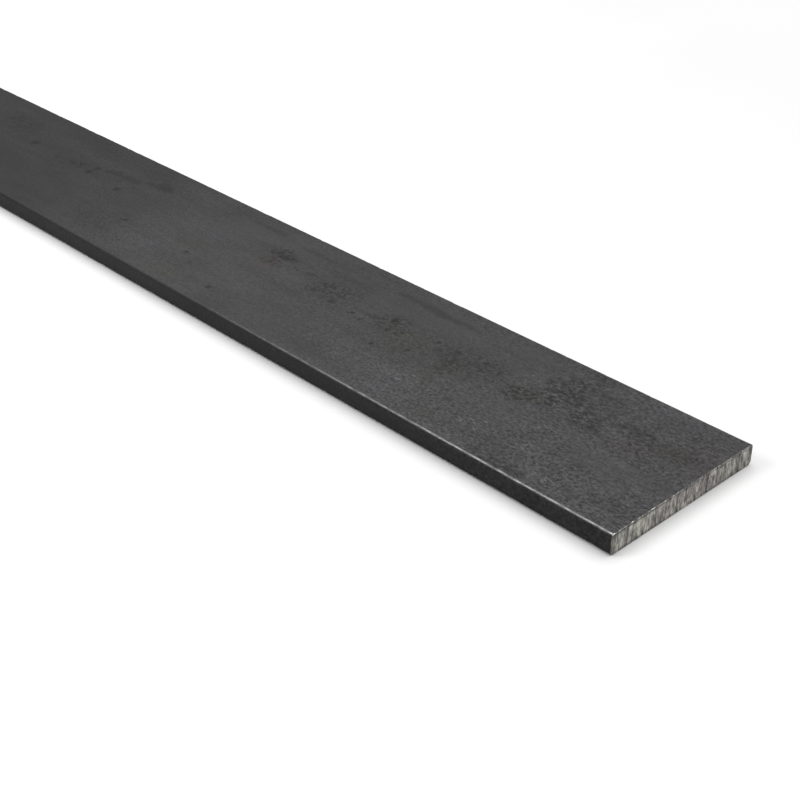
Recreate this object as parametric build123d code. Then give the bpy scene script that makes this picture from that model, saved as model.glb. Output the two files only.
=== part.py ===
from build123d import *
import os

# Hot-rolled mild steel flat bar, 45 x 5 mm, cut to a one-metre stock length.
# Units are millimetres. The bar lies flat on the floor: +X runs along it, +Y across
# its width and +Z up through its thickness. The origin is the middle of its bottom face.

# Rolled section
BAR_WIDTH = 45.0
BAR_THICKNESS = 5.0

# Corners of the section, left round by the rolls and never quite alike.
# Front is the narrow edge at -Y, rear is the narrow edge at +Y.
FRONT_TOP_RADIUS = 0.8
FRONT_BOTTOM_RADIUS = 1.0
REAR_TOP_RADIUS = 0.7
REAR_BOTTOM_RADIUS = 1.0

# Cut piece
BAR_LENGTH = 1000.0
CUT_RIM_RADIUS = 0.2

# How far a quarter circle's middle stands off its centre along each axis, for a radius of 1.
DIAGONAL = 0.5 ** 0.5


def rolled_corner(side, level, radius):
    """Quarter circle at one corner of the section, as its points on the wide face,
    at its middle and on the narrow edge. side is -1 for front and 1 for rear,
    level is -1 for bottom and 1 for top."""
    centre_y = side * (BAR_WIDTH / 2 - radius)
    centre_z = BAR_THICKNESS / 2 + level * (BAR_THICKNESS / 2 - radius)
    on_face = (centre_y, centre_z + level * radius)
    middle = (centre_y + side * radius * DIAGONAL, centre_z + level * radius * DIAGONAL)
    on_edge = (centre_y + side * radius, centre_z)
    return on_face, middle, on_edge


def rolled_section():
    """Outline of the bar across its length: two wide faces and two narrow edges,
    joined by four rolled corners."""
    front_top = rolled_corner(-1, 1, FRONT_TOP_RADIUS)
    front_bottom = rolled_corner(-1, -1, FRONT_BOTTOM_RADIUS)
    rear_top = rolled_corner(1, 1, REAR_TOP_RADIUS)
    rear_bottom = rolled_corner(1, -1, REAR_BOTTOM_RADIUS)
    with BuildSketch(Plane.YZ) as section:
        with BuildLine():
            for corner in (front_top, front_bottom, rear_top, rear_bottom):
                ThreePointArc(*corner)
            Line(front_top[0], rear_top[0])
            Line(front_bottom[0], rear_bottom[0])
            Line(front_top[2], front_bottom[2])
            Line(rear_top[2], rear_bottom[2])
        make_face()
    return section.sketch


def flat_bar():
    """The rolled section drawn out along the bar and cut square at both ends,
    with the rim of each cut broken to a small radius."""
    bar = extrude(rolled_section(), BAR_LENGTH / 2, both=True)
    cut_faces = bar.faces().filter_by(Axis.X)
    return fillet(cut_faces.edges(), CUT_RIM_RADIUS)


os.makedirs("parts", exist_ok=True)
export_step(flat_bar(), "parts/flat_bar.step")
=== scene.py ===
import math

import bpy
import numpy as np
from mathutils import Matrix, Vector


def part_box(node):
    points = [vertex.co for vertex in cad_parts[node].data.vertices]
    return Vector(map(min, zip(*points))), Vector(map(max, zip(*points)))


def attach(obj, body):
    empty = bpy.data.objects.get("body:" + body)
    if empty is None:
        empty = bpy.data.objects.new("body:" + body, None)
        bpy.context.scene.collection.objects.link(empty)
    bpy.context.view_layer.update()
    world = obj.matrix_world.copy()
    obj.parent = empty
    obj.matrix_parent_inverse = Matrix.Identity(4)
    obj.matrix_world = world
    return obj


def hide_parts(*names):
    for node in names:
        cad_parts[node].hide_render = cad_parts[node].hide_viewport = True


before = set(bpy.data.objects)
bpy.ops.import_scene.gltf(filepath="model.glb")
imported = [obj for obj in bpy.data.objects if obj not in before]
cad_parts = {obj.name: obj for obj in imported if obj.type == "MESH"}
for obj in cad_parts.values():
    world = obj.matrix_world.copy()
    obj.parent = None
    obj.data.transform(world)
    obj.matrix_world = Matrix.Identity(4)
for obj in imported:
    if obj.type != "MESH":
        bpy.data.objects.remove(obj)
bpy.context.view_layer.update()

# The bar as packed: +X along it, +Y across its width, +Z up. The end at +X is the one shown.
MM = 0.001
LOW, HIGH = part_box("flat_bar")
LENGTH, WIDTH, THICKNESS = HIGH - LOW
END_X = HIGH.x

# Rolled corners of the section, by side (-1 front, 1 rear) and level (-1 bottom, 1 top)
CORNER_RADIUS = {(-1, 1): 0.8 * MM, (-1, -1): 1.0 * MM, (1, 1): 0.7 * MM, (1, -1): 1.0 * MM}

# Rim of a cut end, and the grid over the cut face
RIM_RADIUS = 0.2 * MM
RIM_RINGS = 5
CUT_COLUMNS = 380
CUT_ROWS = 22
CUT_ARC_COLUMNS = 14

# Zones of the skin, from a cut end inwards: where each begins, the length of its faces
# and how many faces go round the section (top, bottom, each narrow edge, each corner)
SHOWN_ZONES = [
    (1.0 * MM, 0.5 * MM, (190, 60, 10, 8)),
    (2.2 * MM, 0.6 * MM, (72, 24, 4, 7)),
    (100 * MM, 1.0 * MM, (44, 18, 3, 6)),
    (330 * MM, 2.0 * MM, (26, 16, 2, 5)),
]
HIDDEN_ZONES = [
    (1.0 * MM, 0.5 * MM, (190, 60, 10, 8)),
    (2.2 * MM, 1.0 * MM, (44, 18, 3, 6)),
    (40 * MM, 2.0 * MM, (26, 16, 2, 5)),
]

# The last hidden zone stops after this length, as one ring that the shown skin is joined to
SEAM_LENGTH = 1.0 * MM

# What a vertex beyond the rim has for its distance from the rim over the cut
BEYOND_RIM = -1.0


# ---------------------------------------------------------------- noise

def lattice(cell, seed):
    """A number from 0 to 1 for each cell; the last axis of cell is its place in the lattice."""
    mixed = np.full(cell.shape[:-1], seed * 374761393 & 0xFFFFFFFF, np.uint64)
    for axis, prime in zip(range(cell.shape[-1]), (668265263, 2246822519, 3266489917)):
        step = (cell[..., axis] & 0xFFFFFFFF).astype(np.uint64)
        mixed = (mixed ^ step * np.uint64(prime) & np.uint64(0xFFFFFFFF)) * np.uint64(1274126177)
        mixed &= np.uint64(0xFFFFFFFF)
        mixed ^= mixed >> np.uint64(15)
    return mixed.astype(float) / 0xFFFFFFFF


def noise(places, size, seed):
    """Smooth noise from -1 to 1 at rows of coordinates; size is a bump's length on each axis."""
    scaled = places / np.asarray(size)
    low = np.floor(scaled).astype(np.int64)
    part = scaled - low
    part = part * part * (3 - 2 * part)
    axes = scaled.shape[1]
    total = np.zeros(len(scaled))
    for corner in range(2 ** axes):
        high = np.array([corner >> axis & 1 for axis in range(axes)])
        weight = np.prod(np.where(high, part, 1 - part), axis=1)
        total += weight * lattice(low + high, seed)
    return 2 * total - 1


def line_noise(values, size, seed):
    """Noise along one coordinate."""
    return noise(values[:, None], (size,), seed)


def smoothstep(low, high, value):
    """Smooth step from 0 at low to 1 at high, which may be the lower of the two."""
    part = np.clip((value - low) / (high - low), 0, 1)
    return part * part * (3 - 2 * part)


# ---------------------------------------------------------------- section

def corner_radius(y, z):
    """Radius of the section's corner nearest to each point."""
    radius = np.zeros(len(y))
    for (side, level), size in CORNER_RADIUS.items():
        radius[((y >= 0) == (side > 0)) & ((z >= THICKNESS / 2) == (level > 0))] = size
    return radius


def outward(points):
    """Unit normals of the section's outline, for points on it or just inside it."""
    y, z = points.T
    radius = corner_radius(y, z)
    core_y = np.clip(y, -WIDTH / 2 + radius, WIDTH / 2 - radius)
    core_z = np.clip(z, radius, THICKNESS - radius)
    away = points - np.stack([core_y, core_z], 1)
    return away / np.linalg.norm(away, axis=1, keepdims=True)


def arc(side, level, start, stop, count):
    """Points along a rolled corner, from the angle start towards stop, without the last one."""
    radius = CORNER_RADIUS[side, level]
    centre_y = side * (WIDTH / 2 - radius)
    centre_z = THICKNESS / 2 + level * (THICKNESS / 2 - radius)
    angle = np.radians(np.linspace(start, stop, count, endpoint=False))
    return np.stack([centre_y + radius * np.cos(angle), centre_z + radius * np.sin(angle)], 1)


def run(start, stop, count):
    """Points along a straight stretch of the section, without the last one."""
    part = np.linspace(0, 1, count, endpoint=False)[:, None]
    return np.array(start) * (1 - part) + np.array(stop) * part


def outline(top, bottom, edge, corner):
    """Closed outline of the section, from the foot of the front edge round under the bar.
    The numbers are how many faces each stretch is divided into."""
    half = WIDTH / 2
    radius = CORNER_RADIUS
    return np.concatenate([
        arc(-1, -1, 180, 270, corner),
        run((-half + radius[-1, -1], 0), (half - radius[1, -1], 0), bottom),
        arc(1, -1, -90, 0, corner),
        run((half, radius[1, -1]), (half, THICKNESS - radius[1, 1]), edge),
        arc(1, 1, 0, 90, corner),
        run((half - radius[1, 1], THICKNESS), (-half + radius[-1, 1], THICKNESS), top),
        arc(-1, 1, 90, 180, corner),
        run((-half, THICKNESS - radius[-1, 1]), (-half, radius[-1, -1]), edge),
    ])


def turns(points):
    """How far round the outline each point is, from 0 to 1."""
    steps = np.linalg.norm(np.roll(points, -1, axis=0) - points, axis=1)
    return np.concatenate([[0], np.cumsum(steps)[:-1]]) / steps.sum()


# ---------------------------------------------------------------- skin

class Skin:
    """Vertices and faces of the bar's closed surface, gathered ring by ring: each vertex's
    place on the plain bar, its outward normal and how far inside the rim it is: in metres on
    the cut face, from 0 down to BEYOND_RIM over the rim, and BEYOND_RIM on the rolled skin."""

    def __init__(self):
        self.places = []
        self.normals = []
        self.inside = []
        self.faces = []
        self.count = 0

    def add(self, places, normals, inside):
        """Adds vertices and returns their numbers."""
        self.places.append(places)
        self.normals.append(normals)
        self.inside.append(np.broadcast_to(inside, len(places)))
        self.count += len(places)
        return np.arange(self.count - len(places), self.count)

    def ring(self, x, points):
        """Adds one outline of the section at x."""
        across = np.column_stack([np.zeros(len(points)), outward(points)])
        places = np.column_stack([np.full(len(points), x), points])
        return self.add(places, across, BEYOND_RIM)

    def arrays(self):
        """Places, normals and distances inside the rim, of all vertices."""
        parts = self.places, self.normals, self.inside
        return tuple(np.concatenate(part) for part in parts)

    def quads(self, a, b, c, d):
        self.faces += np.stack([a, b, c, d], -1).reshape(-1, 4).tolist()

    def join(self, first, second):
        """Quads between two rings of the same count."""
        self.quads(first, second, np.roll(second, -1), np.roll(first, -1))

    def stitch(self, first, second, turn_first, turn_second):
        """Triangles between two rings of different counts, each vertex matched by its turn."""
        a, b = 0, 0
        turn_first, turn_second = np.append(turn_first, 1.0), np.append(turn_second, 1.0)
        while a < len(first) or b < len(second):
            here, there = first[a % len(first)], second[b % len(second)]
            ahead = b == len(second) or a < len(first) and turn_first[a + 1] <= turn_second[b + 1]
            if ahead:
                a += 1
                self.faces.append([here, there, first[a % len(first)]])
            else:
                b += 1
                self.faces.append([here, there, second[b % len(second)]])


def cut_columns():
    """Places across the cut face, closer together where the rolled corners curve away."""
    half = WIDTH / 2 - RIM_RADIUS
    front = max(CORNER_RADIUS[-1, 1], CORNER_RADIUS[-1, -1]) - RIM_RADIUS
    rear = max(CORNER_RADIUS[1, 1], CORNER_RADIUS[1, -1]) - RIM_RADIUS
    curve = 1 - np.cos(np.linspace(0, math.pi / 2, CUT_ARC_COLUMNS, endpoint=False))
    middle = np.linspace(-half + front, half - rear, CUT_COLUMNS - 2 * CUT_ARC_COLUMNS)
    return np.concatenate([-half + front * curve, middle, (half - rear * curve)[::-1]])


def cut_reach(y, level):
    """Height of the cut face's outline above (level 1) or below (level -1) each place across it."""
    reach = np.full(len(y), THICKNESS / 2 - RIM_RADIUS)
    for side in (-1, 1):
        radius = CORNER_RADIUS[side, level] - RIM_RADIUS
        past = np.clip(side * y - (WIDTH / 2 - RIM_RADIUS - radius), 0, radius)
        reach -= radius - np.sqrt(radius * radius - past * past)
    return THICKNESS / 2 + level * reach


def cut_grid(skin, end):
    """Adds the grid over one cut face. Returns the numbers of its border's vertices and
    their places in the section."""
    y = cut_columns()
    low, high = cut_reach(y, -1)[:, None], cut_reach(y, 1)[:, None]
    grid_y = np.repeat(y[:, None], CUT_ROWS, 1)
    grid_z = low + (high - low) * np.linspace(0, 1, CUT_ROWS)
    inside = np.minimum(np.minimum(grid_z - low, high - grid_z), WIDTH / 2 - np.abs(grid_y))
    section = np.column_stack([grid_y.ravel(), grid_z.ravel()])
    count = grid_y.size
    places = np.column_stack([np.full(count, end * END_X), section])
    numbers = skin.add(places, np.tile([end, 0.0, 0.0], (count, 1)), inside.ravel())
    numbers = numbers.reshape(grid_y.shape)
    skin.quads(numbers[:-1, :-1], numbers[1:, :-1], numbers[1:, 1:], numbers[:-1, 1:])
    border = np.concatenate([numbers[:-1, 0], numbers[-1, :-1],
                             numbers[:0:-1, -1], numbers[0, :0:-1]])
    return border, section[border - numbers[0, 0]]


def cut_face(skin, end):
    """Adds one cut face and the rounded rim round it.
    Returns the last ring of the rim and its outline."""
    last, inset = cut_grid(skin, end)
    across = outward(inset)
    for step in range(1, RIM_RINGS + 1):
        angle = math.pi / 2 * step / RIM_RINGS
        points = inset + across * RIM_RADIUS * math.sin(angle)
        back = np.full(len(points), end * (END_X - RIM_RADIUS * (1 - math.cos(angle))))
        lengthwise = np.full(len(points), end * math.cos(angle))
        tilt = np.column_stack([lengthwise, across * math.sin(angle)])
        ring = skin.add(np.column_stack([back, points]), tilt, BEYOND_RIM * step / RIM_RINGS)
        skin.join(last, ring)
        last = ring
    return last, inset + across * RIM_RADIUS


def sleeve(skin, end, zones, stop, last, points):
    """Adds the rolled skin from the rim of one cut to the distance stop from it, zone by zone."""
    limits = [zone[0] for zone in zones[1:]] + [stop]
    for (start, step, faces), limit in zip(zones, limits):
        shape = outline(*faces)
        count = max(round((limit - start) / step), 1)
        for distance in np.linspace(start, limit, count, endpoint=False):
            ring = skin.ring(end * (END_X - distance), shape)
            if len(shape) == len(last):
                skin.join(last, ring)
            else:
                skin.stitch(last, ring, turns(points), turns(shape))
            last, points = ring, shape
    return last


def bar_skin():
    """The whole surface: both cut faces and the rolled skin between them. The hidden end is
    made as a mirror image of the shown one, so its faces are turned over."""
    skin = Skin()
    middle = LENGTH - HIDDEN_ZONES[-1][0]
    shown = sleeve(skin, 1, SHOWN_ZONES, middle, *cut_face(skin, 1))
    split = len(skin.faces)
    stop = HIDDEN_ZONES[-1][0] + SEAM_LENGTH
    hidden = sleeve(skin, -1, HIDDEN_ZONES, stop, *cut_face(skin, -1))
    skin.faces[split:] = [face[::-1] for face in skin.faces[split:]]
    skin.join(shown, hidden)
    return skin


# ---------------------------------------------------------------- relief

# Marks on the shown stretch of the top face: how far from the shown end and from the
# middle of the width they are, their half length and half width in mm, and their strength
TOP_MARKS = {
    "mottle": [
        (47, 2, 5, 4, 1.0), (43, 6, 6, 5, 1.0), (39, 10, 7, 8, 1.2), (31, 7, 9, 5.5, 1.15),
        (37, 18, 4, 4, 0.7), (32, -20, 9, 1.6, 0.75), (20, 8.5, 9, 3, 0.9),
        (34, 15.5, 6, 3, 0.7), (13, 7, 8, 4, 0.5), (66, 1, 6, 6, 0.6), (59, 6, 8, 4, 0.6),
        (88, 5, 5, 4, 0.7), (111, 6, 8, 5, 0.75), (135, 9.5, 6, 3, 0.9),
        (132.5, 5.5, 4, 2.5, 0.8), (221, 5, 5, 2, 0.7), (262, 10, 12, 6, 0.5),
    ],
    "pitted": [
        (88, 5, 14, 5, 0.4), (68, 4, 12, 5, 0.6), (34, 10, 16, 7, 0.9), (104, 4, 12, 4, 0.5),
        (131, 8, 12, 4, 0.8), (10, -18, 16, 3, 0.5), (40, -19, 12, 2, 0.4),
        (215, 6, 22, 6, 0.8), (150, -9, 10, 4, 0.6),
    ],
    "smooth": [
        (84, 13, 26, 7, 1.0), (54, 14, 12, 7, 0.9), (47, -4, 12, 5, 0.6), (14, -6, 16, 6, 0.6),
        (45, -8, 10, 5, 0.4), (150, 12, 16, 6, 0.6),
    ],
    "flecked": [
        (68, -11, 9, 2.4, 1.0), (43.5, -13, 5, 3, 1.3), (36, -4.5, 5, 2, 0.8), (31, -12, 5, 3, 0.9),
        (20, -19, 8, 2, 1.0), (92, -14, 8, 3, 0.7), (45, 12, 8, 6, 0.6), (22, 14, 10, 5, 0.6),
    ],
    "streak_and_painted_shade": [
        (87, 16, 19, 1.2, 1.0), (147, 17, 9, 0.8, 0.9), (205, 8.3, 12, 2.1, 1.3),
        (199, 9.3, 8, 2.2, 1.3), (194, 11, 5, 2.3, 1.3), (190, 13, 4, 2.8, 1.3),
        (188, -15, 24, 1.2, 0.6), (174, -10, 18, 1.0, 0.5), (203, -18, 20, 1.2, 0.5),
        (133, 8.6, 7, 0.9, 1.0), (32, -20.3, 9, 1.3, 0.25), (128, 16, 7, 0.9, 0.6),
        (60, 14, 9, 0.7, 0.5), (178, 3, 14, 0.9, 0.4),
    ],
    "rust": [(133, 4.5, 6, 4, 1.0), (17, 3, 6, 4, 0.6), (4, 9, 7, 7, 0.6)],
    "olive": [
        (81, 2, 8, 6, 1.0), (65, -2, 5, 8, 1.0), (45, 4, 5, 4, 0.9), (9, 7, 4, 3, 0.8),
        (56, -18.5, 5, 3, 0.8), (155, -4, 6, 3, 0.8), (147, -18.5, 8, 3, 0.8),
    ],
}

# How much of the top, in mm from the shown end, has these marks and no scattered ones
SHOWN_STRETCH = 280

# Single dark specks on the same stretch: distance from the end, place across it and radius in mm
DARK_SPECKS = [
    (49.2, 3.5, 0.7), (52.5, 3.8, 0.7), (54.8, 5.5, 0.7), (58.5, 3.5, 0.7), (60, 6.5, 0.7),
    (67.5, 5.8, 0.8), (74, 6.0, 0.6), (76.5, -1.8, 0.6), (84.5, -5.5, 0.6), (83, 3.0, 0.6),
    (83.5, 1.4, 0.8), (86.5, 1.3, 0.8), (85, 7.5, 0.5),
    (88.5, 5.6, 1.1), (95, 0.3, 0.5), (98.5, 1.0, 0.8), (106, 1.5, 0.9), (114, 6.5, 0.8),
    (132.5, -15.5, 0.9), (152, -7.5, 0.9), (179, -7.5, 0.9), (198, 2.5, 1.2), (214, 3.5, 1.3),
    (214, 6.7, 1.0), (244, 4.5, 1.6),
]

# Where a mark ends and where it is at full strength, in shares of its half length and width
MARK_FADE = 1.2, 0.35

# Marks scattered over the rest of the bar: how many of each kind, how far from the middle of
# the width they lie, and their strength. A streak has its own half lengths and half widths in
# mm; for the other kinds the half width is a share of the half length.
SCATTER_SEED = 11
SCATTERED_MARKS = {
    "mottle": 92, "pitted": 60, "smooth": 32, "flecked": 80, "streak_and_painted_shade": 80, "rust": 24, "olive": 44,
}
SCATTER_REACH = 20
SCATTER_STRENGTH = 0.4, 1.0
STREAK_LENGTHS, STREAK_WIDTHS = (8, 30), (0.6, 1.6)
PATCH_LENGTHS, PATCH_SHARES = (4, 16), (0.25, 0.6)

# Layers of noise: the strength, cell in mm and seed of each
RAGGED_MARKS = (0.45, (5, 3), 31), (0.25, (1.6, 1.1), 32)
WAVES = ((1.0, (60, 12, 12), 41),)
FLAKING = (1.0, (9, 5, 5), 42), (0.5, (3, 2, 2), 43)
PITTING = ((1.0, (1.5, 1.2, 1.2), 44),)
COARSE_PATCHES = ((0.30, (45, 15, 15), 46),)
GROOVE_WANDER = ((0.12, (3, 1.5), 51),)

# Relief of the rolled skin: depths, the stretch of the noise over which each kind sets in,
# and the length from each cut over which all of it does
WAVE_DEPTH = 0.010 * MM
FLAKE_DEPTH, FLAKE_EDGE = 0.018 * MM, (0.3, 0.5)
PIT_DEPTH, PIT_EDGE, PIT_LEAST = 0.06 * MM, (0.25, 0.75), 0.1
NICK_DEPTH, NICK_EDGE, NICK_CORNER = 0.10 * MM, (0.55, 0.95), (0.3, 0.9)
NICK_CELL, NICK_ROWS, NICK_SEED = (1.7 * MM, 1.0, 1.0), 5, 45
SETTLE = 1.5 * MM

# Deepest grooves, the same on both cuts: their places across in mm, and their strength. They
# lean sideways with height, widen with their strength and vary in depth with height.
CUT_GROOVES = {
    -17.6: 0.7, -13.2: 0.4, -8.8: 0.5, -6.1: 0.5, -2.3: 0.8,
    3.7: 0.4, 7.4: 0.65, 10.9: 0.4, 18.0: 1.0,
}
GROOVE_LEAN = -0.06
GROOVE_DEPTH = 0.10 * MM
GROOVE_WIDTHS = 0.20, 0.16
BREAK_CELL, BREAK_SHIFT, BREAK_SEED = 1.3, 9, 52
BREAK_SHARES = 0.8, 0.2

# Close grooves of the blade: seed for each end, how far in mm they wander, and their depth
# with their cell in mm across the cut and up it
CUT_SEEDS = {1: 61, -1: 81}
CUT_WANDER, WANDER_CELL = 0.15, 2 * MM
FINE_DEPTH, FINE_CELL = 0.022 * MM, (0.3, 4.0)
BROAD_DEPTH, BROAD_CELL = 0.035 * MM, (1.1, 7.0)
CUT_FADE = 0.35 * MM

# Burr on the upper rim: strength and length in mm of its two sizes of bead, where across the
# cut, in mm, it sets in at the front, and where a small group of beads lies by itself
BURR_BEADS = (0.7, 1.1), (0.8, 0.40)
BEAD_EDGE = -0.3, 0.7
BURR_SEED_STEP = 5
BURR_LEAST = 0.10
BURR_FRONT, FRONT_AMOUNT = (-13.0, -16.5), 0.90
GROUP_PLACE, GROUP_WIDTH, GROUP_AMOUNT = -10.3, 0.9, 0.45
BURR_FACING = 0.55, 0.9
BURR_REACH = 0.9 * MM

# Crest of the burr: its place and width in shares of the rim, and how far in mm a full bead
# stands out past the end and up above the top
CREST_PLACE, CREST_WIDTH = 0.55, 0.3
BURR_OUT, BURR_UP = 0.12, 0.09

# Dark border of the cuts, made stronger towards the front as painted shade: how far inside the rim
# it sets in, where across the cut (in mm) and at which height it reaches full strength, each with
# its least share and the rest, and the dark corners by their distance from a narrow edge
BORDER_EDGE = 0.7 * MM, 0.25 * MM
BORDER_FRONT, FRONT_SHARES = (-4.0, -12.0), (0.62, 0.38)
BORDER_RISE, RISE_SHARES = (1.0 * MM, 2.5 * MM), (0.55, 0.45)
CORNER_EDGE, CORNER_AMOUNT = (2.2 * MM, 0.9 * MM), 0.55

# Painted shade over a stretch of the top, standing in for light that falls off: where along the bar
# it sets in and ends, by distance from the shown end, and where across the bar it reaches full
# strength; it takes some of the coarse grain
FALLOFF_FROM, FALLOFF_TO = (145 * MM, 240 * MM), (420 * MM, 300 * MM)
FALLOFF_FRONT, FALLOFF_SHARES = (5 * MM, -12 * MM), (0.9, 0.4)
FALLOFF_LOSS = 0.4

# Towards both ends: coarser grain, soiled scale and handled corners, by distance from the
# nearer end, with the least amount and what is added to it
COARSE_END, COARSE_AMOUNTS, COARSE_LIMITS = (115 * MM, 25 * MM), (0.45, 0.45), (0.25, 1.2)
SMOOTH_LOSS = 0.55
SOILED_END, SOILED_AMOUNT = (14 * MM, 6 * MM), 0.28
HANDLED_END, HANDLED_AMOUNTS = (140 * MM, 25 * MM), (0.03, 0.92)

# How far a normal points up, down or sideways where a face or a worn corner begins and ends
FACE_FACING = 0.3, 0.8
EDGE_FACING = 0.4, 0.8
WORN_FACING, WORN_LIMIT, WORN_SIDE = (0.66, 0.90), (1.0, 0.95), (0.1, 0.35)


def scattered_marks():
    """Marks for the rest of the bar: face (1 top, -1 bottom), kind, and numbers as in TOP_MARKS."""
    draw = np.random.default_rng(SCATTER_SEED)
    marks = []
    for kind, amount in SCATTERED_MARKS.items():
        for _ in range(amount):
            face = draw.choice([-1, 1])
            first = SHOWN_STRETCH if face == 1 else 0
            distance = draw.uniform(first, LENGTH / MM)
            across = draw.uniform(-SCATTER_REACH, SCATTER_REACH)
            if kind == "streak_and_painted_shade":
                long = draw.uniform(*STREAK_LENGTHS)
                wide = draw.uniform(*STREAK_WIDTHS)
            else:
                long = draw.uniform(*PATCH_LENGTHS)
                wide = draw.uniform(*PATCH_SHARES) * long
            strength = draw.uniform(*SCATTER_STRENGTH)
            marks.append((face, kind, distance, across, long, wide, strength))
    return marks


def rising(amounts, stretch, values):
    """The first of two amounts, rising over the stretch by the second."""
    return amounts[0] + amounts[1] * smoothstep(*stretch, values)


def layered(places, layers, unit=MM):
    """Sum of noises, each given by its strength, its cell in units and its seed."""
    return sum(strength * noise(places, np.array(cell) * unit, seed)
               for strength, cell, seed in layers)


def facing(normals, face):
    """How fully each vertex lies on the top (face 1) or the bottom (face -1), from 0 to 1."""
    return smoothstep(*FACE_FACING, face * normals[:, 2])


def mark_masks(places, normals):
    """How strongly each kind of mark covers each vertex."""
    across = places[:, 1] / MM
    distance = (END_X - places[:, 0]) / MM
    ragged = layered(np.column_stack([distance, across]), RAGGED_MARKS, unit=1)
    shown = [(1, kind, *mark) for kind, listed in TOP_MARKS.items() for mark in listed]
    masks = {kind: np.zeros(len(places)) for kind in TOP_MARKS}
    for face, kind, at, middle, long, wide, strength in shown + scattered_marks():
        radius = np.hypot((distance - at) / long, (across - middle) / wide) + ragged
        cover = strength * smoothstep(*MARK_FADE, radius) * facing(normals, face)
        masks[kind] = np.maximum(masks[kind], cover)
    return masks


def nick_depth(places, normals):
    """Depth of the knocks along the four rolled corners, each with a row of noise to itself."""
    rows = np.sign(normals[:, 1:]) * NICK_ROWS
    knocks = noise(np.column_stack([places[:, :1], rows]), NICK_CELL, NICK_SEED)
    corner = np.abs(normals[:, 1] * normals[:, 2]) * 2
    return NICK_DEPTH * smoothstep(*NICK_EDGE, knocks) * smoothstep(*NICK_CORNER, corner)


def skin_depth(places, normals, masks):
    """How far the rolled skin lies below the plain bar: waves, flaked scale, pits and nicks."""
    waves = WAVE_DEPTH * (1 + layered(places, WAVES))
    flakes = FLAKE_DEPTH * smoothstep(*FLAKE_EDGE, layered(places, FLAKING))
    pitting = smoothstep(*PIT_EDGE, layered(places, PITTING))
    pits = PIT_DEPTH * pitting * (PIT_LEAST + masks["mottle"])
    return waves + flakes + pits + nick_depth(places, normals)


def grooves(across, height):
    """Depth of the deep grooves of a cut, from 0 to 1."""
    line = across / MM + GROOVE_LEAN * (height / MM - THICKNESS / MM / 2)
    line = line + layered(np.column_stack([across, height]), GROOVE_WANDER)
    depth = np.zeros(len(across))
    for place, strength in CUT_GROOVES.items():
        width = GROOVE_WIDTHS[0] + GROOVE_WIDTHS[1] * strength
        breaks = line_noise(height / MM + BREAK_SHIFT * place, BREAK_CELL, BREAK_SEED)
        broken = strength * (BREAK_SHARES[0] + BREAK_SHARES[1] * breaks)
        depth = np.maximum(depth, broken * np.exp(-((line - place) / width) ** 2))
    return depth


def cut_depth(across, height, seed):
    """How far the cut face lies below its rim: the blade's close grooves and a few deep ones."""
    line = across / MM + GROOVE_LEAN * (height / MM)
    flat = np.column_stack([across, height])
    line = line + CUT_WANDER * noise(flat, (WANDER_CELL, WANDER_CELL), seed)
    bend = np.column_stack([line, height / MM])
    fine = FINE_DEPTH * (1 + noise(bend, FINE_CELL, seed + 1))
    broad = BROAD_DEPTH * (1 + noise(bend, BROAD_CELL, seed + 2))
    return fine + broad + GROOVE_DEPTH * grooves(across, height)


def burr(places, normals, end, seed):
    """Height of the burr that the cut leaves on its upper rim, as beads, from 0 to 1."""
    across = places[:, 1] / MM * end
    beads = sum(strength * line_noise(across, cell, seed + step)
                for step, (strength, cell) in enumerate(BURR_BEADS))
    front = FRONT_AMOUNT * smoothstep(*BURR_FRONT, across)
    group = GROUP_AMOUNT * np.exp(-((across - GROUP_PLACE) / GROUP_WIDTH) ** 2)
    slope = np.maximum(np.hypot(normals[:, 1], normals[:, 2]), 1e-9)
    upper = smoothstep(*BURR_FACING, normals[:, 2] / slope)
    return (BURR_LEAST + front + group) * upper * smoothstep(*BEAD_EDGE, beads)


def cut_relief(places, normals, inside):
    """How far each vertex of the cuts is sunk, and the height of the burr, from 0 to 1."""
    end = np.sign(places[:, 0])
    by_end = LENGTH / 2 - np.abs(places[:, 0]) < BURR_REACH
    sunk, lip = np.zeros(len(places)), np.zeros(len(places))
    for which, seed in CUT_SEEDS.items():
        cap = (inside >= 0) & (end == which)
        fade = smoothstep(0, CUT_FADE, inside[cap])
        sunk[cap] = cut_depth(places[cap, 1] * which, places[cap, 2], seed) * fade
        near = (inside < 0) & (end == which) & by_end
        lip[near] = burr(places[near], normals[near], which, seed + BURR_SEED_STEP)
    return sunk, lip


def cut_masks(places, inside, rim, lip):
    """Masks of the cuts: bare steel, their darker border, which is painted shade where it grows
    towards the front, deep grooves and burr.
    """
    on_cut = inside >= 0
    across = places[:, 1] * np.sign(places[:, 0])
    # painted shade: the border grows darker towards the front of the cut
    shaded = rising(FRONT_SHARES, BORDER_FRONT, across / MM)
    upper = rising(RISE_SHARES, BORDER_RISE, places[:, 2])
    border = smoothstep(*BORDER_EDGE, inside) * shaded * upper
    corner = CORNER_AMOUNT * smoothstep(*CORNER_EDGE, WIDTH / 2 - np.abs(places[:, 1]))
    return {
        "cut": np.where(on_cut, 1.0, smoothstep(0.75, 0.35, rim)),
        "rim": np.where(on_cut, np.maximum(border, corner), 0),
        "groove": np.where(on_cut, grooves(across, places[:, 2]), 0),
        "burr": lip * smoothstep(0.0, 0.4, rim) * smoothstep(1.0, 0.8, rim),
    }


def painted_falloff_shade(places, normals):
    """Painted shade on the top, standing in for light that falls off: a darker stretch some way
    from the shown end, most at the front.
    """
    distance = END_X - places[:, 0]
    stretch = smoothstep(*FALLOFF_FROM, distance) * smoothstep(*FALLOFF_TO, distance)
    return stretch * facing(normals, 1) * rising(FALLOFF_SHARES, FALLOFF_FRONT, places[:, 1])


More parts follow.
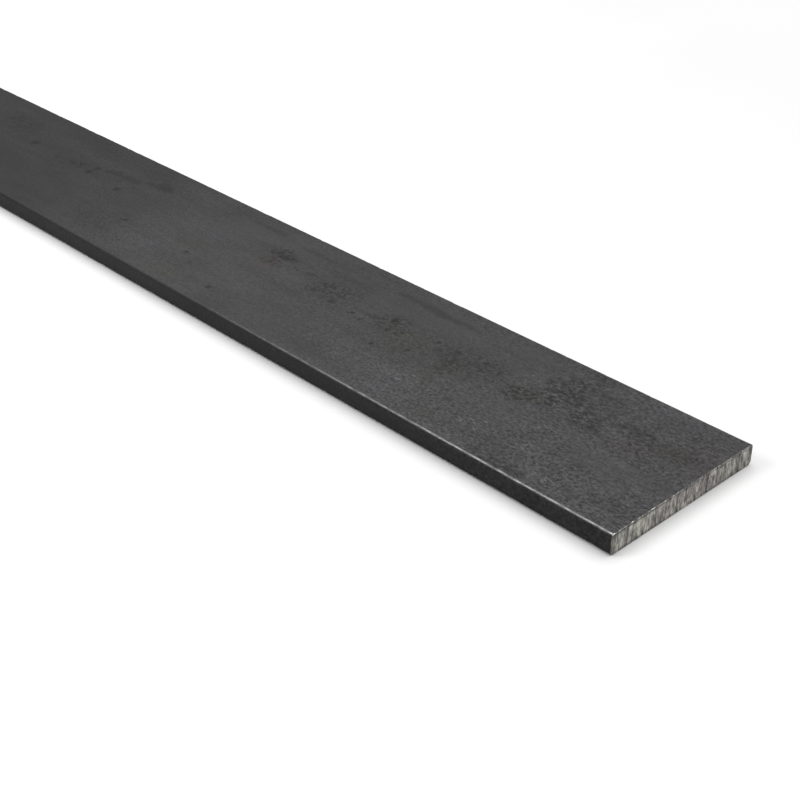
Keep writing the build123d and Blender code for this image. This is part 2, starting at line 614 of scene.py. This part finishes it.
def skin_masks(places, normals, rolled, marks):
    """Masks of the rolled skin: narrow edges, darkened as painted shade, coarse grain, dark streaks
    together with a stretch of painted shade, and worn corners.
    """
    from_end = LENGTH / 2 - np.abs(places[:, 0])
    falloff_shade = painted_falloff_shade(places, normals)
    coarse = rising(COARSE_AMOUNTS, COARSE_END, from_end) + layered(places, COARSE_PATCHES)
    coarse = np.clip(coarse, *COARSE_LIMITS) * (1 - SMOOTH_LOSS * marks["smooth"])
    soiled = SOILED_AMOUNT * smoothstep(*SOILED_END, from_end)
    handled = rising(HANDLED_AMOUNTS, HANDLED_END, from_end)
    sideways, upright = np.abs(normals[:, 1:]).T
    on_corner = smoothstep(*WORN_FACING, upright) * smoothstep(*WORN_LIMIT, upright)
    return {
        # painted shade: the narrow edges of the scale are made darker
        "edge": smoothstep(*EDGE_FACING, sideways) * rolled,
        "coarse": coarse * (1 - FALLOFF_LOSS * falloff_shade),
        # dark streaks, soiled ends and the painted shade of a stretch of the top, in one mask
        "streak_and_painted_shade": np.maximum(marks["streak_and_painted_shade"], np.maximum(falloff_shade, soiled)),
        "worn": on_corner * smoothstep(*WORN_SIDE, sideways) * rolled * handled,
    }


def shaped(skin):
    """Final vertex places, and the masks that the surface finish reads."""
    places, normals, inside = skin.arrays()
    end = np.sign(places[:, 0])
    rim = np.where(inside >= 0, 0, -inside)
    rolled = np.where(inside >= 0, 0, np.hypot(normals[:, 1], normals[:, 2]))
    masks = mark_masks(places, normals)
    settle = smoothstep(0, SETTLE, LENGTH / 2 - np.abs(places[:, 0]))
    depth = skin_depth(places, normals, masks) * settle
    sunk, lip = cut_relief(places, normals, inside)
    crest = lip * np.exp(-((rim - CREST_PLACE) / CREST_WIDTH) ** 2) * (rim > 0)
    moved = places - normals * (rolled * depth)[:, None]
    moved[:, 0] -= end * sunk
    moved[:, 0] += end * crest * BURR_OUT * MM
    moved[:, 2] += crest * BURR_UP * MM
    masks.update(cut_masks(places, inside, rim, lip))
    masks.update(skin_masks(places, normals, rolled, masks))
    return moved, masks


# ---------------------------------------------------------------- flat map

# Map of the surface for baking, in cells of a square of MAP_SIDE: the skin lies in it as
# MAP_STRIPS strips one above the other, over the two cut faces. The scales are cells to a metre.
MAP_SIDE = 1024
MAP_STRIPS = 3
MAP_GAP = 5
ALONG_SCALE = 3.0 / MM
ROUND_SCALE = 3.1 / MM
CUT_SCALE = 10.5 / MM
DENSE_OUTLINE = 400, 400, 60, 60


def section_girth():
    """Length of the section's outline."""
    return 2 * (WIDTH + THICKNESS) - (2 - math.pi / 2) * sum(CORNER_RADIUS.values())


def round_section(points):
    """How far round the section each point of its outline is, from the middle of the bottom."""
    def angle(near):
        return np.arctan2(near[:, 0] / WIDTH, 0.5 - near[:, 1] / THICKNESS) % (2 * math.pi)
    dense = outline(*DENSE_OUTLINE)
    dense = dense[np.argsort(angle(dense))]
    steps = np.linalg.norm(np.diff(dense, axis=0), axis=1)
    along = np.concatenate([[0], np.cumsum(steps)]) + np.hypot(*dense[0])
    return np.interp(angle(points), angle(dense), along)


def cut_map(places, normals, inside):
    """Map places of each vertex of the cuts, with the rim laid out flat round each face."""
    side = normals[:, 1:] / np.maximum(np.linalg.norm(normals[:, 1:], axis=1, keepdims=True), 1e-9)
    angle = math.pi / 2 * np.clip(-inside, 0, 1)
    flat = places[:, 1:] + side * (RIM_RADIUS * (angle - np.sin(angle)))[:, None]
    hidden = places[:, 0] < 0
    u = (flat[:, 0] + WIDTH / 2) * CUT_SCALE + MAP_GAP * 2 + hidden * (MAP_SIDE / 2)
    v = flat[:, 1] * CUT_SCALE + MAP_GAP * 2
    return u, v


def flat_map(skin):
    """Map place of each corner of each face, in face order. A face stays whole: all its
    corners go to the strip that its middle lies in, on the same side of the section's seam."""
    places, normals, inside = skin.arrays()
    sizes = np.array([len(face) for face in skin.faces])
    corners = np.concatenate([np.array(face) for face in skin.faces])
    starts = np.concatenate([[0], np.cumsum(sizes)[:-1]])

    def over_face(reduce, values):
        return np.repeat(reduce.reduceat(values, starts), sizes)

    distance = END_X - places[corners, 0]
    middle = over_face(np.add, distance) / np.repeat(sizes, sizes)
    strip = np.clip((middle / LENGTH * MAP_STRIPS).astype(int), 0, MAP_STRIPS - 1)
    girth = section_girth()
    across = round_section(places[:, 1:])[corners]
    wraps = over_face(np.maximum, across) - over_face(np.minimum, across) > girth / 2
    across = np.where(wraps & (across < girth / 2), across + girth, across)
    cut_height = THICKNESS * CUT_SCALE + 4 * MAP_GAP
    strip_height = (MAP_SIDE - cut_height) / MAP_STRIPS
    skin_u = (distance - strip * LENGTH / MAP_STRIPS) * ALONG_SCALE + 2 * MAP_GAP
    skin_v = across * ROUND_SCALE + cut_height + strip * strip_height
    cut_u, cut_v = cut_map(places, normals, inside)
    on_cut = over_face(np.maximum, inside[corners]) > BEYOND_RIM
    u = np.where(on_cut, cut_u[corners], skin_u)
    v = np.where(on_cut, cut_v[corners], skin_v)
    return np.column_stack([u, v]) / MAP_SIDE


# ---------------------------------------------------------------- bar

def linked(name, data):
    """A new object with this data, in the scene."""
    made = bpy.data.objects.new(name, data)
    bpy.context.scene.collection.objects.link(made)
    return made


def rolled_bar():
    """The bar as one closed mesh, with its masks as attributes."""
    skin = bar_skin()
    places, masks = shaped(skin)
    mesh = bpy.data.meshes.new("rolled_bar")
    mesh.from_pydata(places, [], skin.faces)
    mesh.shade_smooth()
    for name, values in masks.items():
        attribute = mesh.attributes.new(name, "FLOAT", "POINT")
        attribute.data.foreach_set("value", values.astype(np.float32))
    bake_map = mesh.uv_layers.new(name="OFBake")
    bake_map.uv.foreach_set("vector", flat_map(skin).ravel().astype(np.float32))
    return linked("rolled_bar", mesh)


# ---------------------------------------------------------------- finish

# Colours of the mill scale, of the patches on it, of bare steel at the corners and on the
# cuts, and how strongly the patches show
SCALE_COLOURS = (0.0180, 0.0180, 0.0184), (0.0215, 0.0215, 0.0227)
RUST_COLOUR, RUST_SHARE = (0.0230, 0.0166, 0.0158), 0.45
OLIVE_COLOUR, OLIVE_SHARE = (0.0162, 0.0164, 0.0122), 0.5
WORN_COLOUR = (0.26, 0.26, 0.265)
CUT_COLOURS = (0.275, 0.271, 0.245), (0.281, 0.264, 0.249)
BURR_COLOUR = (0.36, 0.355, 0.34)

DARKEST_SCALE = 0.12
WORN_ROUGHNESS = 0.40
BURR_ROUGHNESS = 0.30
BUMP_HEIGHT = 0.12 * MM
SPECKLE_BUMP = 0.5
LINE_BUMP = 1.5
SCALE_IOR = 1.5
SCALE_SPECULAR = 0.15
SCUFF_LEAN = -0.38

# Noises of the finish: cell in mm (along the bar, across it, up), detail, roughness, and how
# far the scaled cells are turned about the bar's length, in radians, so that they lean
NOISES = {
    "grain": ((0.80, 0.60, 0.60), 3, 0.7, 0),
    "flecks": ((1.50, 0.50, 0.50), 2, 0.6, 0),
    "fleck_areas": ((30, 14, 14), 2, 0.5, 0),
    "clouds": ((22, 8, 8), 3, 0.6, 0),
    "rolling": ((26, 1.1, 1.1), 2, 0.6, 0),
    "speckle": ((1.5, 1.0, 1.0), 2, 0.6, 0),
    "pocks": ((2.6, 1.9, 1.9), 2, 0.4, 0),
    "tint": ((40, 18, 18), 2, 0.5, 0),
    "rub": ((3.0, 0.6, 0.6), 3, 0.7, 0),
    "wide_bands": ((40, 3.2, 6.0), 1, 0.5, GROOVE_LEAN),
    "bands": ((40, 1.4, 3.5), 2, 0.6, GROOVE_LEAN),
    "lines": ((40, 0.40, 1.8), 2, 0.6, GROOVE_LEAN),
    "scuffs": ((40, 0.50, 1.6), 2, 0.6, SCUFF_LEAN),
    "spots": ((40, 0.80, 0.70), 3, 0.6, 0),
    "warmth": ((40, 6.0, 9.0), 1, 0.5, 0),
    "paper": ((90, 90, 90), 2, 0.5, 0),
}

# Ranges of the finish: the values of a noise, mask or place between which it counts, and
# what it becomes at them
RANGES = {
    # mill scale: what is added up
    "grain": (0.30, 0.72, -1.0, 1.15),
    "bare_flecks": (0.60, 0.68, 0, 1),
    "fleck_areas": (0.4, 0.6, 0.1, 1.1),
    "bright_flecks": (0.54, 0.64, 0, 1),
    "level": (0.3, 1.1, 0.99, 1.02),
    "wobble": (0.3, 0.7, -0.5 * MM, 0.5 * MM),
    "dots": (0.47, 0.56, 0, 1),
    "pocks": (0.63, 0.69, 0, 1),
    # mill scale: factors of its shade
    "clouds": (0.3, 0.7, 0.84, 1.16),
    "rolling": (0.3, 0.7, 0.93, 1.07),
    "mottle_dots": (0, 1, 1.0, 0.28),
    "mottle": (0, 1, 1.0, 0.93),
    "pitted": (0, 1, 1.0, 0.45),
    "smooth": (0, 1, 1.0, 1.09),
    # dark streaks, with the painted shade of a stretch of the top
    "streak_and_painted_shade": (0, 1.3, 1.0, 0.48),
    "across": (-18 * MM, 18 * MM, 1.10, 0.91),
    # painted shade on the narrow edges
    "edge": (0, 1, 1.0, 0.5),
    # cuts: factors of their shade
    "wide_bands": (0.3, 0.7, 0.84, 1.16),
    "bands": (0.3, 0.7, 0.66, 1.34),
    "lines": (0.3, 0.7, 0.34, 1.66),
    "scuffs": (0.3, 0.7, 0.70, 1.30),
    "spots": (0.3, 0.7, 0.75, 1.25),
    "groove": (0, 1, 1.0, 0.12),
    "rim": (0, 1, 1.0, 0.35),
    # painted light: the cuts lighter towards the foot, against the floor's contact shade
    "foot": (0.6 * MM, 2.4 * MM, 1.25, 1.0),
    # shares of two colours, and roughness
    "tint": (0.35, 0.65, 0, 1),
    "warmth": (0.4, 0.6, 0, 1),
    "rub": (0.35, 0.6, 0.2, 0.95),
    "burr": (0.15, 0.5, 0, 1),
    "paper": (0.3, 0.7, 0, 1),
    "scale_roughness": (0.3, 0.7, 0.52, 0.68),
    "cut_roughness": (0.3, 0.7, 0.52, 0.38),
}

# A single speck: shares of its radius where it is darkest and where it ends, and its factor
SPECK_CORE = 0.5
SPECK_END = 1.3
SPECK_FACTOR = 0.40


class Finish:
    """A material's node tree, with short ways to add what the finishes are made of."""

    def __init__(self, name):
        self.material = bpy.data.materials.new(name)
        self.material.use_nodes = True
        self.tree = self.material.node_tree
        self.shader = self.tree.nodes["Principled BSDF"]
        self.place = self.node("ShaderNodeTexCoord").outputs["Object"]
        apart = self.node("ShaderNodeSeparateXYZ")
        self.feed(apart.inputs[0], self.place)
        self.across = apart.outputs["Y"]
        self.height = apart.outputs["Z"]

    def node(self, kind, **settings):
        made = self.tree.nodes.new(kind)
        for name, value in settings.items():
            setattr(made, name, value)
        return made

    def feed(self, socket, value):
        """Links a node's output to the socket, or sets the socket to a plain value."""
        if isinstance(value, bpy.types.NodeSocket):
            self.tree.links.new(value, socket)
        else:
            socket.default_value = value

    def maths(self, operation, first, second):
        made = self.node("ShaderNodeMath", operation=operation)
        self.feed(made.inputs[0], first)
        self.feed(made.inputs[1], second)
        return made.outputs[0]

    def times(self, product, *factors):
        """Product of all the values, multiplied in the order given."""
        for factor in factors:
            product = self.maths("MULTIPLY", product, factor)
        return product

    def noise(self, name):
        """The noise of this name in NOISES."""
        cell, detail, rough, lean = NOISES[name]
        cells = self.node("ShaderNodeMapping", vector_type="POINT")
        self.feed(cells.inputs["Vector"], self.place)
        cells.inputs["Scale"].default_value = [1 / (size * MM) for size in cell]
        cells.inputs["Rotation"].default_value = (lean, 0, 0)
        made = self.node("ShaderNodeTexNoise")
        self.feed(made.inputs["Vector"], cells.outputs[0])
        made.inputs["Scale"].default_value = 1.0
        made.inputs["Detail"].default_value = detail
        made.inputs["Roughness"].default_value = rough
        return made.outputs["Fac"]

    def mask(self, name):
        return self.node("ShaderNodeAttribute", attribute_name=name).outputs["Fac"]

    def spread(self, value, low, high, to_low, to_high):
        """value from low to high becomes to_low to to_high, and stays inside them."""
        made = self.node("ShaderNodeMapRange")
        for socket, given in zip(made.inputs, (value, low, high, to_low, to_high)):
            self.feed(socket, given)
        return made.outputs[0]

    def ranged(self, name, value):
        """value spread over the range of this name in RANGES."""
        return self.spread(value, *RANGES[name])

    def ranged_noise(self, name):
        return self.ranged(name, self.noise(name))

    def ranged_mask(self, name):
        return self.ranged(name, self.mask(name))

    def blend(self, share, first, second, kind="MIX"):
        """A mix of two colours, each a node's output or three numbers."""
        made = self.node("ShaderNodeMix", data_type="RGBA", blend_type=kind)
        self.feed(made.inputs["Factor"], share)
        colours = [socket for socket in made.inputs if socket.type == "RGBA"]
        for socket, given in zip(colours, (first, second)):
            self.feed(socket, given if isinstance(given, bpy.types.NodeSocket) else (*given, 1.0))
        return next(socket for socket in made.outputs if socket.type == "RGBA")

    def number(self, share, first, second):
        """A mix of two numbers."""
        made = self.node("ShaderNodeMix", data_type="FLOAT")
        values = [socket for socket in made.inputs if socket.type == "VALUE"]
        for socket, given in zip(values, (share, first, second)):
            self.feed(socket, given)
        return next(socket for socket in made.outputs if socket.type == "VALUE")


def speck_shade(finish, grain):
    """Darkening by the single specks, whose borders the grain makes uneven."""
    wobble = finish.ranged("wobble", grain)
    specks = []
    for distance, across, radius in DARK_SPECKS:
        near = finish.node("ShaderNodeVectorMath", operation="DISTANCE")
        finish.feed(near.inputs[0], finish.place)
        near.inputs[1].default_value = (END_X - distance * MM, across * MM, THICKNESS)
        reach = finish.maths("ADD", near.outputs["Value"], wobble)
        core, end = SPECK_CORE * radius * MM, SPECK_END * radius * MM
        specks.append(finish.spread(reach, core, end, SPECK_FACTOR, 1.0))
    return finish.times(*specks)


def scale_shade(finish, grain, speckle):
    """How light each spot of the mill scale is, as a factor: grain, flecks, clouds and marks, with
    painted shade over a stretch of the top and on the narrow edges.
    """
    coarse, flecks = finish.mask("coarse"), finish.noise("flecks")
    bare = finish.times(finish.ranged("bare_flecks", flecks), finish.ranged_noise("fleck_areas"))
    bright = finish.times(finish.ranged("bright_flecks", flecks), finish.mask("flecked"))
    shade = finish.times(finish.ranged("grain", grain), coarse)
    shade = finish.maths("ADD", shade, finish.times(bare, coarse))
    shade = finish.maths("ADD", shade, bright)
    shade = finish.maths("ADD", shade, finish.ranged("level", coarse))
    mottle = finish.mask("mottle")
    dots = finish.times(finish.ranged("dots", speckle), mottle)
    pits = finish.times(finish.ranged_noise("pocks"), finish.mask("pitted"))
    return finish.times(
        finish.maths("MAXIMUM", shade, DARKEST_SCALE),
        finish.ranged_noise("clouds"),
        finish.ranged_noise("rolling"),
        finish.ranged("mottle_dots", dots),
        finish.ranged("mottle", mottle),
        finish.ranged("pitted", pits),
        finish.ranged_mask("smooth"),
        speck_shade(finish, grain),
        # dark streaks, and the painted shade of a stretch of the top
        finish.ranged_mask("streak_and_painted_shade"),
        finish.ranged("across", finish.across),
        # painted shade on the narrow edges
        finish.ranged_mask("edge"),
    )


def cut_shade(finish, lines):
    """How light each spot of a cut is, as a factor: bands, fine lines, scuffs, grooves, the dark
    border with its painted shade, and painted light towards the foot.
    """
    return finish.times(
        finish.ranged_noise("wide_bands"),
        finish.ranged_noise("bands"),
        finish.ranged("lines", lines),
        finish.ranged_noise("scuffs"),
        finish.ranged_noise("spots"),
        finish.ranged_mask("groove"),
        finish.ranged_mask("rim"),
        # painted light towards the foot
        finish.ranged("foot", finish.height),
    )


def scale_colour(finish, grain, speckle):
    """Mill scale in two dark tones, with its rust and olive patches, under its shade."""
    colour = finish.blend(finish.ranged_noise("tint"), *SCALE_COLOURS)
    colour = finish.blend(finish.times(finish.mask("rust"), RUST_SHARE), colour, RUST_COLOUR)
    colour = finish.blend(finish.times(finish.mask("olive"), OLIVE_SHARE), colour, OLIVE_COLOUR)
    return finish.blend(1.0, colour, scale_shade(finish, grain, speckle), "MULTIPLY")


def cut_colour(finish, lines):
    """Bare steel of the cuts, in two tones, under its shade."""
    colour = finish.blend(finish.ranged_noise("warmth"), *CUT_COLOURS)
    return finish.blend(1.0, colour, cut_shade(finish, lines), "MULTIPLY")


def steel_bump(finish, cut, grain, speckle, lines):
    """Fine relief of the surface: the scale's grain, and the blade's lines on the cuts."""
    height = finish.maths("ADD", grain, finish.times(speckle, SPECKLE_BUMP))
    height = finish.number(cut, height, finish.times(lines, LINE_BUMP))
    bump = finish.node("ShaderNodeBump")
    bump.inputs["Strength"].default_value = 1.0
    bump.inputs["Distance"].default_value = BUMP_HEIGHT
    finish.feed(bump.inputs["Height"], height)
    return bump.outputs[0]


def steel_finish():
    """Dark mill scale on the rolled skin, bare steel on the cuts, burrs and worn corners."""
    finish = Finish("mill_scale_steel")
    grain, speckle = finish.noise("grain"), finish.noise("speckle")
    lines = finish.noise("lines")
    cut, burr = finish.mask("cut"), finish.ranged_mask("burr")
    worn = finish.times(finish.mask("worn"), finish.ranged_noise("rub"))

    colour = finish.blend(worn, scale_colour(finish, grain, speckle), WORN_COLOUR)
    colour = finish.blend(cut, colour, cut_colour(finish, lines))
    colour = finish.blend(burr, colour, BURR_COLOUR)

    rough = finish.number(worn, finish.ranged("scale_roughness", grain), WORN_ROUGHNESS)
    rough = finish.number(cut, rough, finish.ranged("cut_roughness", lines))
    rough = finish.number(burr, rough, BURR_ROUGHNESS)
    metal = finish.maths("MAXIMUM", cut, finish.maths("MAXIMUM", worn, burr))

    shader = finish.shader
    finish.feed(shader.inputs["Base Color"], colour)
    finish.feed(shader.inputs["Roughness"], rough)
    finish.feed(shader.inputs["Metallic"], metal)
    finish.feed(shader.inputs["Normal"], steel_bump(finish, cut, grain, speckle, lines))
    shader.inputs["IOR"].default_value = SCALE_IOR
    shader.inputs["Specular IOR Level"].default_value = SCALE_SPECULAR
    return finish.material


# ---------------------------------------------------------------- studio

FLOOR_SIZE = 200.0
FLOOR_GREY = 0.42
FLOOR_MOTTLING = 0.01
FLOOR_ROUGHNESS = 0.9
WORLD_STRENGTH = 0.35

# Wide soft light from above: where it comes from, how much of the sky it fills and its strength
OVERHEAD_FROM = Vector((0.0, 0.30, 1.20))
OVERHEAD_ANGLE = math.radians(74)
OVERHEAD_STRENGTH = 5.6

# Softbox over the front: where it hangs from the shown end, its width and its power
KEY_PLACE = Vector((-0.43, -0.53, 0.59))
KEY_SIZE = 0.35
KEY_POWER = 4.5

# Camera, from the foot of the shown cut's middle
CAMERA_FROM_END = Vector((130.51, -200.84, 167.86)) * MM
CAMERA_AZIMUTH = math.radians(46.447)
CAMERA_ELEVATION = math.radians(31.529)
CAMERA_LENS = 65.68
SENSOR_WIDTH = 36.0
CLIP_START = 0.01


def floor():
    """The pale floor that the bar lies on."""
    mesh = bpy.data.meshes.new("floor")
    half = FLOOR_SIZE / 2
    corners = [(-half, -half, 0), (half, -half, 0), (half, half, 0), (-half, half, 0)]
    mesh.from_pydata(corners, [], [(0, 1, 2, 3)])
    finish = Finish("floor_paper")
    greys = (FLOOR_GREY,) * 3, (FLOOR_GREY + FLOOR_MOTTLING,) * 3
    paper = finish.blend(finish.ranged_noise("paper"), *greys)
    finish.feed(finish.shader.inputs["Base Color"], paper)
    finish.shader.inputs["Roughness"].default_value = FLOOR_ROUGHNESS
    finish.shader.inputs["Specular IOR Level"].default_value = 0.0
    mesh.materials.append(finish.material)
    return linked("floor", mesh)


def lamp(name, kind, strength, place, aim):
    """Adds a light that shines from place towards aim and isn't seen itself."""
    light = bpy.data.lights.new(name, kind)
    light.energy = strength
    made = linked(name, light)
    made.location = place
    made.rotation_euler = (aim - place).to_track_quat("-Z", "Y").to_euler()
    made.visible_camera = False
    return light


def studio():
    """White surroundings, the wide light from above and the softbox over the front."""
    world = bpy.data.worlds.new("studio")
    world.use_nodes = True
    background = world.node_tree.nodes["Background"]
    background.inputs["Color"].default_value = (1, 1, 1, 1)
    background.inputs["Strength"].default_value = WORLD_STRENGTH
    bpy.context.scene.world = world
    bpy.context.scene.view_settings.view_transform = "Standard"
    end = Vector((END_X, 0, THICKNESS))
    lamp("overhead", "SUN", OVERHEAD_STRENGTH, end + OVERHEAD_FROM, end).angle = OVERHEAD_ANGLE
    lamp("key_softbox", "AREA", KEY_POWER, end + KEY_PLACE, end).size = KEY_SIZE


def camera():
    """The camera, at the photograph's place, and the scene's view through it."""
    data = bpy.data.cameras.new("camera")
    data.lens = CAMERA_LENS
    data.sensor_width = SENSOR_WIDTH
    data.clip_start = CLIP_START
    made = linked("camera", data)
    made.location = Vector((END_X, 0, 0)) + CAMERA_FROM_END
    made.rotation_euler = (math.pi / 2 - CAMERA_ELEVATION, 0, CAMERA_AZIMUTH)
    bpy.context.scene.camera = made


bar = rolled_bar()
bar.data.materials.append(steel_finish())
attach(bar, "root")
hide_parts("flat_bar")

floor()
studio()
camera()
